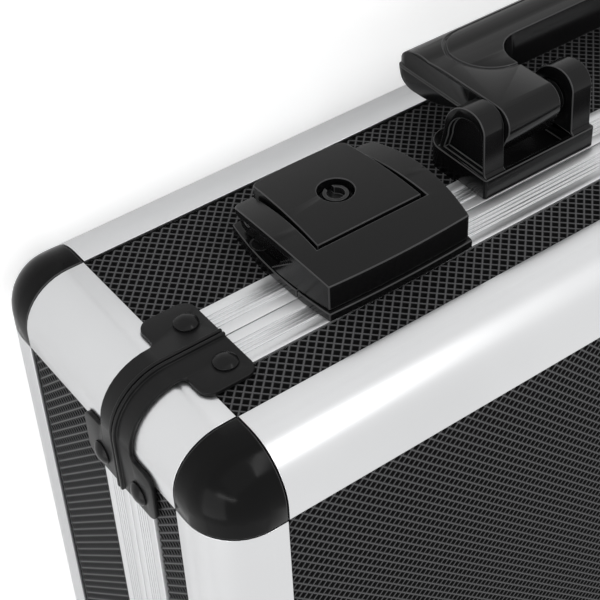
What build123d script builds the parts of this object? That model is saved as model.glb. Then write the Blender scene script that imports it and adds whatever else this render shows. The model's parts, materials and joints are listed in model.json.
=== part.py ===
"""Hard mixer case, lying on its base: aluminium-framed shells, rear hinges, front latches and handle.

The front, with the latches and the handle, faces -Y. The hinges are at +Y. All sizes are in millimetres.
"""

import os
from math import asin, cos, degrees, radians, sin, sqrt

from build123d import *

os.makedirs("parts", exist_ok=True)

# Shell
length = 460.0
depth = 360.0
base_height = 79.0
lid_height = 52.4
parting_gap = 0.5
foot_stand = 5.0

# Aluminium edge profile and the wall it holds
edge_width = 23.0
edge_radius = 17.5
skin = 1.5
panel = 6.0
slot_fit = 0.1
leg = 1.5
leg_length = 12.3
panel_inset = 17.0
web = 2.0
web_tilt = 45.0
end_gap = 0.5

# Closure profile at the parting line
closure_height = 14.0
rib_count = 5
rib_pitch = 1.45
rib_width = 0.7
rib_depth = 0.45
tongue_face = 4.6
tongue = 1.6
tongue_height = 3.0
tongue_play_outside = 0.4
tongue_play_inside = 0.9
tongue_play_top = 0.5
channel_wall = 1.2
panel_play = 0.4

# Corner brackets and blind rivets
bracket = 1.5
bracket_reach = 38.5
bracket_height = 19.0
bracket_strap = 8.0
bracket_neck = 19.6
bracket_rounding = 4.5
bracket_neck_rounding = 2.0
bracket_lip = 1.1
bracket_lip_height = 1.2
surface_fit = 0.05
rivet_inset = 32.2
rivet_drop = 10.3
rivet_radius = 2.0
rivet_head_radius = 4.0
rivet_head = 2.0
rivet_rim = 0.5
hinge_rivet_head_radius = 3.2
hinge_rivet_head = 1.6
sunk_head_radius = 3.2
rivet_tail_radius = 3.0
rivet_tail = 1.6
bore_fit = 0.05

# Latches, in front-face measures: places above (+) or below (-) the seam, and heights out of the front face
latch_from_end = 94.6
latch_foot = 3.0
latch_foot_far = -38.5
latch_foot_near = 15.0
latch_foot_half = 29.5
latch_foot_widest = -8.0
latch_side_radius = 150.0
latch_near_bow = 0.8
lever_near = 13.8
lever_far = -36.0
lever_half = 29.2
lever_widest = -12.0
lever_rounding = 3.0
lever_bridge = 0.5
lever_lift = 0.4
lever_crown = 16.0
lever_edge_height = 12.3
lever_crown_at = -11.0
lever_wall = 2.4
arm_lip = 2.8
arm_hollow = 3.6
arm_hollow_foot = -13.5
arm_hollow_top = 2.1
block_near = -1.0
block_far = -39.8
block_half_near = 20.0
block_half_far = 18.2
block_crown = 16.2
block_far_height = 14.7
block_near_height = 15.2
block_bow = 1.2
block_rounding = 2.5
block_wall = 2.4
groove = 1.2
latch_block_reach = 10.0
lever_heel = 3.0
lever_heel_rise = 1.0
hook = 1.8
hook_play = 1.0
latch_pin_at = -31.0
latch_pin_height = 8.3
latch_pin_radius = 1.5
latch_pin_half = 25.2
pin_fit = 0.06
lock_at = -18.4
lock_radius = 5.7
lock_recess = 1.2
lock_bore_fit = 0.3
lock_sleeve_wall = 2.2
key_ring_outer = 4.2
key_ring_inner = 2.9
key_ring_depth = 2.5
key_gap = 2.6
cam = 2.0
cam_lift = 0.6
cam_bite = 1.0
cam_hub = 7.2
cam_nose = 4.0
cam_play = 0.3
catch_slot = 18.0
catch_slot_width = 3.0
catch_slot_depth = 2.0
latch_rivet_out = 24.8
latch_rivet_low = -25.0
latch_rivet_high = -9.0
catch_rivet_out = 19.0

# Handle and its brackets, in the same measures as the latches
handle_half = 79.6
arm_width = 22.0
arm_end_width = 28.8
handle_pivot_at = -12.0
handle_pivot_height = 18.0
handle_pin_radius = 3.0
handle_side_play = 0.4
handle_end_radius = 9.2
handle_boss_radius = 6.0
handle_reach = 49.0
grip_width = 25.0
handle_rounding = 7.0
handle_inner_rounding = 12.0
handle_band = 0.8
handle_band_low = 1.2
handle_band_high = 9.2
grip_seam_at = -36.0
grip_seam_half = 57.3
grip_seam_radius = 15.7
grip_seam = 1.2
grip_seam_depth = 0.8
plinth = 7.6
plinth_far = -31.6
plinth_floor = 3.0
plinth_wall = 1.8
plinth_far_rounding = 8.0
plinth_near_rounding = 1.2
ear = 8.4
ear_height = 29.3
ear_step = 0.8
ear_apex_at = -9.4
ear_near_radius = 6.7
ear_far_radius = 12.8
ear_foot_near = -2.0
ear_foot_far = -24.0
ear_flare = 1.4
ear_recess = 2.0
ear_near_rim = 0.9
ear_top_rim = 3.9
ear_far_rim = 2.2
ear_low_rim = 1.4
pin_cover = 3.2
bracket_screw_below = 9.5
bracket_screw_above = 4.5
bracket_screw_radius = 2.0
bracket_screw_head = 4.0
bracket_screw_bite = 8.0

# Side shape of the handle: points above and outwards of its pivot
boss_angle = 27.0
handle_heel_low = (11.2, 3.0)
handle_heel = (11.2, 5.3)
handle_heel_bow = (9.4, 9.2)
handle_heel_top = (5.2, 11.0)
handle_shoulder = (-18.0, 11.0)
handle_arm_bow = (-23.5, 10.9)
handle_waist = (-29.0, 10.4)
handle_back_bow = (-41.6, 8.0)
handle_nose = (-46.4, 2.8)
handle_palm_bow = (-43.4, -3.2)
handle_palm = (-35.5, -5.5)
handle_throat_bow = (-24.0, -4.0)
handle_throat = (-14.0, 0.0)

# Hinges
hinge_from_end = 90.0
hinge_half = 25.0
knuckle_count = 5
hinge_leaf = 1.5
hinge_leaf_height = 17.0
knuckle_radius = 3.0
knuckle_stand = 0.2
knuckle_play = 0.2
hinge_pin_radius = 1.5
hinge_pin_head = 0.9
hinge_rivet_spread = 17.0
hinge_rivet_drop = 10.0
leaf_clear = 0.4

# Feet
foot_radius = 10.0
foot_taper = 1.0
foot_inset = 55.0
rear_foot_radius = 7.0
rear_foot_inset = 48.0
rear_foot_stand = 9.0
base_rear_foot_at = 44.0
lid_rear_foot_at = 21.7
foot_screw_radius = 2.0
foot_screw_head = 3.8
foot_screw_head_height = 2.4
foot_screw_sink = 3.4
foot_screw_play = 0.5

# Foam
floor_foam = 12.0
wall_foam = 10.0
lid_foam = 22.0
foam_fit = 0.3

# Length of a cut that goes right through, and how near two places or lengths count as the same
through = 100.0
same_place = 1e-6
same_length = 1e-3

# Places worked out from the sizes above
front_y = ear_height - (ear_height + depth + rear_foot_stand) / 2
rear_y = front_y + depth
mid_y = (front_y + rear_y) / 2
side_x = length / 2
latch_x = side_x - latch_from_end
hinge_x = side_x - hinge_from_end
base_z = foot_stand
base_top = base_z + base_height
lid_bottom = base_top + parting_gap
lid_top = lid_bottom + lid_height
panel_face = skin + slot_fit
leg_face = panel_face + panel + slot_fit
leg_back = leg_face + leg
leg_tip = leg_face + leg_length
channel_floor = tongue_height - parting_gap + tongue_play_top
bracket_screw_low = handle_pivot_at - bracket_screw_below
bracket_screw_high = handle_pivot_at + bracket_screw_above
rivet_sink = sunk_head_radius - rivet_radius
hinge_z = base_top + parting_gap / 2
hinge_y = rear_y + knuckle_stand + knuckle_radius
along_x = Vector(1, 0, 0)
along_y = Vector(0, 1, 0)
along_z = Vector(0, 0, 1)
low_corner = (Align.MIN, Align.MIN)
low_box = (Align.MIN, Align.MIN, Align.MIN)
high_box = (Align.MAX, Align.MAX, Align.MAX)
above = (Align.CENTER, Align.MIN)
below = (Align.CENTER, Align.MAX)
standing = (Align.CENTER, Align.CENTER, Align.MIN)
hanging = (Align.CENTER, Align.CENTER, Align.MAX)
standing_below = (Align.CENTER, Align.MAX, Align.MIN)


def save(builder, node):
    """Label a finished piece and write its file."""
    builder.part.label = node
    export_step(builder.part, f"parts/{node}.step")


def edge_plane(origin, inward, other_inward, along):
    """Plane on an outer edge: its x and y point into the case and its z runs along the edge."""
    first = inward if inward.cross(other_inward).dot(along) > 0 else other_inward
    return Plane(origin=origin, x_dir=first, z_dir=along)


def rounded_corner(near, far, radius):
    """Square sketch from near to far on both axes, rounded where it is nearest the edge."""
    with BuildSketch() as square:
        with Locations((near, near)):
            Rectangle(far - near, far - near, align=low_corner)
        fillet(square.vertices().sort_by_distance((near, near, 0))[0], radius)
    return square.sketch


def near_edges(shape, point):
    """Edges of a shape that end at a point."""
    spot = Vector(*point)
    return [edge for edge in shape.edges() if min((edge @ at - spot).length for at in (0, 1)) < same_place]


def drill(planes, radius, reach):
    """Bore a hole of a radius to the given reach on both sides of each plane."""
    for plane in planes:
        with Locations(plane.location):
            Cylinder(radius, 2 * reach, mode=Mode.SUBTRACT)


def on_front(x, up=0.0):
    """Plane on the front face: x runs along the case, y up from the top of the base, z outwards."""
    return Plane(origin=(x, front_y, base_top + up), x_dir=along_x, z_dir=-along_y)


def on_rear(x, z):
    """Outward plane on the rear face."""
    return Plane(origin=(x, rear_y, z), x_dir=-along_x, z_dir=along_y)


# Sections of the aluminium profiles
with BuildSketch() as edge_section:
    add(rounded_corner(0, edge_width, edge_radius))
    add(rounded_corner(skin, edge_width + skin, edge_radius - skin), mode=Mode.SUBTRACT)
    with Locations((leg_face, leg_face)):
        Rectangle(leg_length, leg, align=low_corner)
        Rectangle(leg, leg_length, align=low_corner)
    web_start = edge_radius - (edge_radius - skin / 2) * sin(radians(web_tilt))
    web_end = leg_face + leg / 2
    web_middle = (web_start + web_end) / 2
    with Locations(Location((web_middle, web_middle, 0), (0, 0, web_tilt))):
        Rectangle((web_end - web_start) * sqrt(2), web)


def closure_shell():
    """Draw the skin, with its fine grooves, and the inner leg of a closure profile into the sketch."""
    Rectangle(skin, closure_height, align=low_corner)
    with Locations((leg_face, 0)):
        Rectangle(leg, closure_height, align=low_corner)
    with Locations((0, closure_height / 2)):
        with GridLocations(1, rib_pitch, 1, rib_count):
            Rectangle(2 * rib_depth, rib_width, mode=Mode.SUBTRACT)


with BuildSketch() as base_closure_section:
    closure_shell()
    Rectangle(leg_back, skin, align=low_corner)
    with Locations((tongue_face, -tongue_height)):
        Rectangle(tongue, tongue_height + skin, align=low_corner)

with BuildSketch() as lid_closure_section:
    closure_shell()
    channel_low = tongue_face - tongue_play_outside
    channel_high = tongue_face + tongue + tongue_play_inside
    Rectangle(leg_back, skin, align=low_corner)
    with Locations((channel_low - channel_wall, 0)):
        Rectangle(leg_back - channel_low + channel_wall, channel_floor + channel_wall, align=low_corner)
    with Locations((channel_low, 0)):
        Rectangle(channel_high - channel_low, channel_floor, align=low_corner, mode=Mode.SUBTRACT)

# Profile runs: each node's section, the planes its lengths start on, and their length
long_start = -side_x + edge_width + end_gap
long_run = length - 2 * (edge_width + end_gap)
short_start = front_y + edge_width + end_gap
short_run = depth - 2 * (edge_width + end_gap)
profile_runs = {}
for shell, outer_z, inward_z, seam_z, height, seam_section in (
    ("base", base_z, along_z, base_top, base_height, base_closure_section),
    ("lid", lid_top, -along_z, lid_bottom, lid_height, lid_closure_section),
):
    post_z = min(seam_z, outer_z + inward_z.Z * (edge_width + end_gap))
    profile_runs[f"{shell}_long_edges"] = (
        edge_section,
        [
            edge_plane((long_start, front_y, outer_z), along_y, inward_z, along_x),
            edge_plane((long_start, rear_y, outer_z), -along_y, inward_z, along_x),
        ],
        long_run,
    )
    profile_runs[f"{shell}_short_edges"] = (
        edge_section,
        [
            edge_plane((-side_x, short_start, outer_z), along_x, inward_z, along_y),
            edge_plane((side_x, short_start, outer_z), -along_x, inward_z, along_y),
        ],
        short_run,
    )
    profile_runs[f"{shell}_corner_posts"] = (
        edge_section,
        [
            edge_plane((side * side_x, y, post_z), -side * along_x, inward_y, along_z)
            for side in (-1, 1)
            for y, inward_y in ((front_y, along_y), (rear_y, -along_y))
        ],
        height - edge_width - end_gap,
    )
    # The closure's x points into the case and its y away from the seam, so each run's direction follows.
    profile_runs[f"{shell}_long_closures"] = (
        seam_section,
        [
            Plane(
                origin=(-inward.cross(-inward_z).X * long_run / 2, y, seam_z),
                x_dir=inward,
                z_dir=inward.cross(-inward_z),
            )
            for y, inward in ((front_y, along_y), (rear_y, -along_y))
        ],
        long_run,
    )
    profile_runs[f"{shell}_short_closures"] = (
        seam_section,
        [
            Plane(
                origin=(side * side_x, mid_y - (-side * along_x).cross(-inward_z).Y * short_run / 2, seam_z),
                x_dir=-side * along_x,
                z_dir=(-side * along_x).cross(-inward_z),
            )
            for side in (-1, 1)
        ],
        short_run,
    )

# Rivet places, as outward planes on the faces
hinge_steps = (-hinge_rivet_spread, 0, hinge_rivet_spread)
hinge_spots = [side * hinge_x + step for side in (-1, 1) for step in hinge_steps]
latch_spots = [side * latch_x + out for side in (-1, 1) for out in (-latch_rivet_out, latch_rivet_out)]
catch_spots = [side * latch_x + out for side in (-1, 1) for out in (-catch_rivet_out, catch_rivet_out)]
catch_rivet_at = parting_gap + closure_height / 2
latch_low_rivets = [on_front(x, latch_rivet_low) for x in latch_spots]
latch_high_rivets = [on_front(x, latch_rivet_high) for x in latch_spots]
catch_rivets = [on_front(x, catch_rivet_at) for x in catch_spots]
corner_rivets = {}
hinge_rivets = {}
for shell, seam_z, away in (("base", base_top, -1), ("lid", lid_bottom, 1)):
    rivet_z = seam_z + away * rivet_drop
    corner_rivets[shell] = [
        Plane(origin=(side * (side_x - rivet_inset), y, rivet_z), x_dir=along_x, z_dir=normal)
        for side in (-1, 1)
        for y, normal in ((front_y, -along_y), (rear_y, along_y))
    ] + [
        Plane(origin=(side * side_x, y, rivet_z), x_dir=along_y, z_dir=side * along_x)
        for side in (-1, 1)
        for y in (front_y + rivet_inset, rear_y - rivet_inset)
    ]
    hinge_rivets[shell] = [on_rear(x, hinge_z + away * hinge_rivet_drop) for x in hinge_spots]
bracket_middles = [
    handle_half + handle_side_play + ear / 2,
    handle_half - arm_end_width - handle_side_play - ear / 2,
]
bracket_spots = [side * middle for side in (-1, 1) for middle in bracket_middles]
bracket_low_screws = [on_front(x, bracket_screw_low) for x in bracket_spots]
bracket_high_screws = [on_front(x, bracket_screw_high) for x in bracket_spots]
base_foot_spots = [
    Plane(origin=(side * (side_x - foot_inset), y, base_z), x_dir=along_x, z_dir=-along_z)
    for side in (-1, 1)
    for y in (front_y + foot_inset, rear_y - foot_inset)
]
rear_foot_xs = (rear_foot_inset - side_x, side_x - rear_foot_inset)
base_rear_foot_spots = [on_rear(x, base_z + base_rear_foot_at) for x in rear_foot_xs]
lid_rear_foot_spots = [on_rear(x, lid_bottom + lid_rear_foot_at) for x in rear_foot_xs]

shell_bores = {
    "base": corner_rivets["base"] + hinge_rivets["base"] + latch_low_rivets + latch_high_rivets,
    "lid": corner_rivets["lid"] + hinge_rivets["lid"] + catch_rivets,
}
shell_screw_bores = {
    "base": bracket_low_screws + bracket_high_screws + base_foot_spots + base_rear_foot_spots,
    "lid": lid_rear_foot_spots,
}

# Aluminium profiles
for node, (section, planes, run) in profile_runs.items():
    shell = node.split("_")[0]
    with BuildPart() as profiles:
        for plane in planes:
            with BuildSketch(plane):
                add(section.sketch)
            extrude(amount=run)
        if node.endswith("closures"):
            drill(shell_bores[shell], rivet_radius + bore_fit, edge_width)
            drill(shell_screw_bores[shell], bracket_screw_radius + bore_fit, edge_width)
    save(profiles, node)

# Panels: plain sheets whose edges sit in the profiles
base_panel_top = base_top - skin - panel_play
lid_panel_low = lid_bottom + channel_floor + channel_wall + panel_play
panel_length = length - 2 * panel_inset
panel_depth = depth - 2 * panel_inset
for shell, low, high, outer_z, inward, flat_bores in (
    ("base", base_z + panel_inset, base_panel_top, base_z, 1, base_foot_spots),
    ("lid", lid_panel_low, lid_top - panel_inset, lid_top, -1, []),
):
    wall_z = (low + high) / 2
    face_z = outer_z + inward * (panel_face + panel / 2)
    with BuildPart() as flat_panel:
        with Locations((0, mid_y, face_z)):
            Box(panel_length, panel_depth, panel)
        drill(flat_bores, foot_screw_radius + bore_fit, edge_width)
    save(flat_panel, f"{shell}_flat_panel")
    for side, y in (("front", front_y + panel_face + panel / 2), ("rear", rear_y - panel_face - panel / 2)):
        with BuildPart() as wall_panel:
            with Locations((0, y, wall_z)):
                Box(panel_length, panel, high - low)
            drill(shell_bores[shell], rivet_radius + bore_fit, edge_width)
            drill(shell_screw_bores[shell], bracket_screw_radius + bore_fit, edge_width)
        save(wall_panel, f"{shell}_{side}_panel")
    with BuildPart() as end_panels:
        with Locations(*[(side * (side_x - panel_face - panel / 2), mid_y, wall_z) for side in (-1, 1)]):
            Box(panel, panel_depth, high - low)
        drill(corner_rivets[shell], rivet_radius + bore_fit, edge_width)
    save(end_panels, f"{shell}_end_panels")

# Ball corners
with BuildPart() as corner_hollow:
    with Locations((skin, skin, skin)):
        Box(edge_width, edge_width, edge_width, align=low_box)
    fillet(near_edges(corner_hollow, (skin, skin, skin)), edge_radius - skin)
with BuildPart() as ball_corner:
    Box(edge_width, edge_width, edge_width, align=low_box)
    fillet(near_edges(ball_corner, (0, 0, 0)), edge_radius)
    add(corner_hollow.part, mode=Mode.SUBTRACT)
for shell, outer_z, inward_z in (("base", base_z, along_z), ("lid", lid_top, -along_z)):
    with BuildPart() as ball_corners:
        for side in (-1, 1):
            for y, inward_y in ((front_y, along_y), (rear_y, -along_y)):
                place = edge_plane((side * side_x, y, outer_z), -side * along_x, inward_y, inward_z)
                add(ball_corner.part.moved(place.location))
    save(ball_corners, f"{shell}_ball_corners")

# Corner brackets: a strap round the edge with a riveted lobe on each face and a lip along the seam
bracket_ring = rounded_corner(-surface_fit - bracket, bracket_reach, edge_radius + surface_fit + bracket)
bracket_ring -= rounded_corner(-surface_fit, bracket_reach + bracket, edge_radius + surface_fit)
lip_ring = rounded_corner(
    -surface_fit - bracket - bracket_lip, bracket_reach, edge_radius + surface_fit + bracket + bracket_lip
)
lip_ring -= rounded_corner(-surface_fit, bracket_reach + bracket, edge_radius + surface_fit)
with BuildPart() as corner_bracket:
    with BuildSketch(Plane.XY.offset(-bracket_height)):
        add(bracket_ring)
    extrude(amount=bracket_height)
    with Locations((bracket_neck, bracket_neck, -bracket_strap)):
        Box(bracket_reach, bracket_reach, bracket_height, align=high_box, mode=Mode.SUBTRACT)
    across = corner_bracket.edges().filter_by(lambda edge: abs(edge.length - bracket) < same_length)
    fillet(across.group_by(Axis.Z)[0], bracket_rounding)
    across = corner_bracket.edges().filter_by(lambda edge: abs(edge.length - bracket) < same_length)
    necks = across.filter_by_position(Axis.Z, -bracket_strap - bracket, -bracket_strap + bracket)
    fillet(necks, bracket_neck_rounding)
    with BuildSketch(Plane.XY.offset(-bracket_lip_height)):
        add(lip_ring)
    extrude(amount=bracket_lip_height)
    lobe_bores = [
        Plane(origin=(rivet_inset, 0, -rivet_drop), z_dir=along_y),
        Plane(origin=(0, rivet_inset, -rivet_drop), z_dir=along_x),
    ]
    drill(lobe_bores, rivet_radius + bore_fit, 2 * bracket)
with BuildPart() as upper_bracket:
    add(corner_bracket.part.mirror(Plane.XY))
for shell, seam_z, piece in (("base", base_top, corner_bracket), ("lid", lid_bottom, upper_bracket)):
    with BuildPart() as corner_brackets:
        for side in (-1, 1):
            for y, inward_y in ((front_y, along_y), (rear_y, -along_y)):
                place = edge_plane((side * side_x, y, seam_z), -side * along_x, inward_y, along_z)
                add(piece.part.moved(place.location))
    save(corner_brackets, f"{shell}_corner_brackets")


def rivet(grip, seat, head_radius, head):
    """Blind rivet standing on z: domed head above the seat, shank, and tail below the grip's far side."""
    dome = head - rivet_rim
    dome_radius = (head_radius**2 + dome**2) / (2 * dome)
    rim_angle = 90 - degrees(asin(head_radius / dome_radius))
    with BuildPart() as piece:
        with BuildSketch(Plane.XZ):
            with BuildLine():
                Polyline(
                    (0, seat + head),
                    (0, -grip - rivet_tail),
                    (rivet_tail_radius, -grip - rivet_tail),
                    (rivet_tail_radius, -grip),
                    (rivet_radius, -grip),
                    (rivet_radius, seat),
                    (head_radius, seat),
                    (head_radius, seat + rivet_rim),
                )
                CenterArc((0, seat + head - dome_radius), dome_radius, rim_angle, 90 - rim_angle)
            make_face()
        revolve(axis=Axis.Z)
    return piece.part


def sunk_rivet(grip, seat):
    """Blind rivet with a flat head let in flush with the seat."""
    with BuildPart() as piece:
        with BuildSketch(Plane.XZ):
            with BuildLine():
                Polyline(
                    (0, -grip - rivet_tail),
                    (rivet_tail_radius, -grip - rivet_tail),
                    (rivet_tail_radius, -grip),
                    (rivet_radius, -grip),
                    (rivet_radius, seat - rivet_sink),
                    (sunk_head_radius, seat),
                    (0, seat),
                    close=True,
                )
            make_face()
        revolve(axis=Axis.Z)
    return piece.part


def countersink(planes, seat):
    """Cut the seats of flush rivets into a plate whose outer face lies at seat."""
    for plane in planes:
        with Locations(plane.offset(seat - rivet_sink / 2).location):
            Cone(rivet_radius + bore_fit, sunk_head_radius + bore_fit, rivet_sink, mode=Mode.SUBTRACT)


domed = rivet(leg_back, bracket + surface_fit, rivet_head_radius, rivet_head)
hinge_domed = rivet(leg_back, hinge_leaf, hinge_rivet_head_radius, hinge_rivet_head)
flush_on_panel = sunk_rivet(panel_face + panel, latch_foot)
flush_on_closure = sunk_rivet(leg_back, latch_foot)
rivet_groups = {
    "base_rivets": [
        (domed, corner_rivets["base"]),
        (hinge_domed, hinge_rivets["base"]),
        (flush_on_panel, latch_low_rivets),
        (flush_on_closure, latch_high_rivets),
    ],
    "lid_rivets": [
        (domed, corner_rivets["lid"]),
        (hinge_domed, hinge_rivets["lid"]),
        (flush_on_closure, catch_rivets),
    ],
}
for node, groups in rivet_groups.items():
    with BuildPart() as rivets:
        for piece, planes in groups:
            for plane in planes:
                add(piece.moved(plane.location))
    save(rivets, node)


def barrel_outline(half, far, near, widest):
    """Sketch between two levels: its sides are wide arcs out to the half width, its near end a slight one."""
    bulge_far = half - (widest - far) ** 2 / (2 * latch_side_radius)
    bulge_near = half - (near - widest) ** 2 / (2 * latch_side_radius)
    with BuildSketch() as outline:
        with BuildLine():
            ThreePointArc((-bulge_near, near), (0, near + latch_near_bow), (bulge_near, near))
            ThreePointArc((bulge_near, near), (half, widest), (bulge_far, far))
            Line((bulge_far, far), (-bulge_far, far))
            ThreePointArc((-bulge_far, far), (-half, widest), (-bulge_near, near))
        make_face()
    return outline.sketch


# Latch pieces, drawn once about x = 0 in front-face measures and then placed at both latches
lever_low = latch_foot + lever_lift
cam_low = lever_low + cam_lift
cam_run = lever_bridge - lock_at
cam_reach = cam_run + cam_bite
cam_sweep_half = sqrt(cam_reach**2 + (cam_nose / 2) ** 2 - cam_run**2)
nose_half = cam_nose / 2 + cam_play
window_low = cam_low - cam_play
window = cam + 2 * cam_play
sleeve_low = cam_low + cam + cam_play
barrel_top = block_crown - lock_recess - key_ring_depth
foot_outline = barrel_outline(latch_foot_half, latch_foot_far, latch_foot_near, latch_foot_widest)
lever_tip = lever_near + latch_near_bow
latch_pin_line = Plane(origin=(0, latch_pin_at, latch_pin_height), z_dir=along_x)
foot_rivets = [
    Plane(origin=(side * latch_rivet_out, at, 0))
    for side in (-1, 1)
    for at in (latch_rivet_low, latch_rivet_high)
]
block_far_corners = [(side * block_half_far, block_far + block_bow) for side in (-1, 1)]
block_taper = (block_half_near - block_half_far) / (block_near - block_far - block_bow)
arm_gap_near = block_half_near + groove + block_taper * (lever_bridge - block_near)
arm_gap_far = block_half_near + groove - block_taper * (block_near - block_far)
with BuildPart() as latch_block:
    with BuildSketch():
        with BuildLine():
            ThreePointArc(block_far_corners[1], (0, block_far), block_far_corners[0])
            Polyline(
                block_far_corners[0],
                (-block_half_near, block_near),
                (block_half_near, block_near),
                block_far_corners[1],
            )
        make_face()
    extrude(amount=block_crown)
    fillet(latch_block.edges().filter_by(Axis.Z).group_by(Axis.Y)[0], block_rounding)
    with BuildSketch(Plane.YZ.offset(-latch_foot_half)):
        with BuildLine():
            ThreePointArc(
                (block_far, block_far_height),
                (lock_at, block_crown),
                (block_near, block_near_height),
            )
            Polyline(
                (block_near, block_near_height),
                (block_near, 0),
                (block_far, 0),
                (block_far, block_far_height),
            )
        make_face()
    extrude(amount=2 * latch_foot_half, mode=Mode.INTERSECT)
with BuildPart() as latch_body:
    with BuildSketch():
        add(foot_outline)
        Rectangle(through, through, align=above, mode=Mode.SUBTRACT)
    extrude(amount=latch_foot)
    with BuildSketch(Plane.XY.offset(-panel_face)):
        add(foot_outline)
        with Locations((0, -closure_height - panel_play)):
            Rectangle(through, through, align=above, mode=Mode.SUBTRACT)
    extrude(amount=panel_face)
    add(latch_block.part)
    with BuildSketch(Plane.XY.offset(-panel_face)):
        with Locations((0, latch_foot_far + block_wall)):
            Rectangle(
                2 * (block_half_far - block_wall),
                block_near - latch_foot_far - 2 * block_wall,
                align=above,
            )
    extrude(amount=panel_face + block_far_height - block_wall, mode=Mode.SUBTRACT)
    with Locations((0, lock_at, sleeve_low)):
        sleeve_radius = lock_radius + lock_bore_fit + lock_sleeve_wall
        Cylinder(sleeve_radius, block_far_height - sleeve_low, align=standing)
    with Locations((0, lock_at, 0)):
        Cylinder(lock_radius + lock_bore_fit, through, mode=Mode.SUBTRACT)
    # Window in which the cam's nose turns from the side to the near end
    with Locations((-nose_half, lock_at - nose_half, window_low)):
        Box(2 * block_half_near, cam_run + nose_half, window, align=low_box, mode=Mode.SUBTRACT)
    drill([latch_pin_line], latch_pin_radius + pin_fit, latch_foot_half)
    drill(foot_rivets, rivet_radius + bore_fit, latch_block_reach)
    countersink(foot_rivets, latch_foot)
with BuildPart() as latch_lever:
    with BuildSketch():
        add(barrel_outline(lever_half, lever_far, lever_near, lever_widest))
        with BuildLine():
            Polyline(
                (-arm_gap_near, lever_bridge),
                (arm_gap_near, lever_bridge),
                (arm_gap_far, block_far),
                (-arm_gap_far, block_far),
                close=True,
            )
        make_face(mode=Mode.SUBTRACT)
    extrude(amount=lever_crown)
    far_corners = latch_lever.edges().filter_by(Axis.Z).group_by(Axis.Y)[0]
    fillet(far_corners.sort_by(lambda edge: abs(edge.center().X))[-2:], lever_rounding)
    with BuildSketch(Plane.YZ.offset(-latch_foot_half)):
        with BuildLine():
            ThreePointArc(
                (lever_far, lever_edge_height),
                (lever_crown_at, lever_crown),
                (lever_tip, lever_edge_height),
            )
            Polyline(
                (lever_tip, lever_edge_height),
                (lever_tip, lever_low),
                (latch_pin_at, lever_low),
                (latch_pin_at - lever_heel, lever_low + lever_heel_rise),
                (lever_far, lever_edge_height - lever_heel_rise - lever_heel),
                (lever_far, lever_edge_height),
            )
        make_face()
    extrude(amount=2 * latch_foot_half, mode=Mode.INTERSECT)
    # Hollow in the outer side of each arm, under the lip of its top
    for side in (-1, 1):
        with BuildSketch(Plane.YZ.offset(side * (lever_half - arm_hollow))):
            with BuildLine():
                ThreePointArc(
                    (lever_far, lever_edge_height - arm_lip),
                    (lever_crown_at, lever_crown - arm_lip),
                    (lever_tip, lever_edge_height - arm_lip),
                )
                Polyline(
                    (lever_tip, lever_edge_height - arm_lip),
                    (lever_tip, 0),
                    (lever_far, 0),
                    (lever_far, lever_edge_height - arm_lip),
                )
            make_face()
            with BuildLine():
                Polyline(
                    (lever_far, 0),
                    (arm_hollow_foot, 0),
                    (arm_hollow_foot, lever_low),
                    (arm_hollow_top, lever_crown),
                    (lever_far, lever_crown),
                    close=True,
                )
            make_face(mode=Mode.INTERSECT)
        extrude(amount=side * 2 * arm_hollow, mode=Mode.SUBTRACT)
    with BuildSketch(Plane.XY.offset(lever_low)):
        with Locations((0, (lever_bridge + lever_near) / 2)):
            Rectangle(2 * (arm_gap_near + lever_wall), lever_near - lever_bridge - 2 * lever_wall)
    extrude(amount=lever_edge_height - lever_wall - lever_low, mode=Mode.SUBTRACT)
    # The cam's nose turns in under the bridge through this window
    with Locations((0, lever_bridge, lever_low)):
        Box(
            2 * (cam_sweep_half + cam_play),
            2 * (lever_wall + cam_play),
            cam_lift + cam + cam_play,
            align=standing,
            mode=Mode.SUBTRACT,
        )
    # Hook that stands just clear of the catch's slot
    with Locations((0, lever_near - lever_wall, lever_low)):
        Box(catch_slot - 2 * hook_play, hook, hook, align=standing_below)
    drill([latch_pin_line], latch_pin_radius + pin_fit, 2 * latch_foot_half)
with BuildPart() as latch_pin:
    with Locations(latch_pin_line.location):
        Cylinder(latch_pin_radius, 2 * latch_pin_half)
with BuildPart() as lock_barrel:
    with Locations((0, lock_at, cam_low + cam)):
        Cylinder(lock_radius, barrel_top - cam_low - cam, align=standing)
    with Locations((0, lock_at, barrel_top)):
        Cylinder(key_ring_outer, key_ring_depth, align=standing)
        Cylinder(key_ring_inner, key_ring_depth, align=standing, mode=Mode.SUBTRACT)
        Box(key_gap, lock_radius, key_ring_depth, align=standing_below, mode=Mode.SUBTRACT)
with BuildPart() as lock_cam:
    with BuildSketch(Plane.XY.offset(cam_low)):
        with Locations((0, lock_at)):
            Circle(cam_hub)
            Rectangle(cam_reach, cam_nose, align=(Align.MIN, Align.CENTER))
    extrude(amount=cam)
with BuildPart() as latch_catch:
    with BuildSketch():
        add(foot_outline)
        with Locations((0, parting_gap)):
            Rectangle(through, through, align=below, mode=Mode.SUBTRACT)
    extrude(amount=latch_foot)
    with Locations((0, lever_near - lever_wall - hook / 2, latch_foot)):
        Box(catch_slot, catch_slot_width, 2 * catch_slot_depth, mode=Mode.SUBTRACT)
    catch_bores = [Plane(origin=(side * catch_rivet_out, catch_rivet_at, 0)) for side in (-1, 1)]
    drill(catch_bores, rivet_radius + bore_fit, latch_block_reach)
    countersink(catch_bores, latch_foot)
latch_pieces = {
    "latch_body": latch_body,
    "latch_lever": latch_lever,
    "latch_pin": latch_pin,
    "lock_barrel": lock_barrel,
    "lock_cam": lock_cam,
    "latch_catch": latch_catch,
}
for hand, side in (("left", -1), ("right", 1)):
    for name, piece in latch_pieces.items():
        with BuildPart() as placed:
            add(piece.part.moved(on_front(side * latch_x).location))
        save(placed, f"{hand}_{name}")

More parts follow.
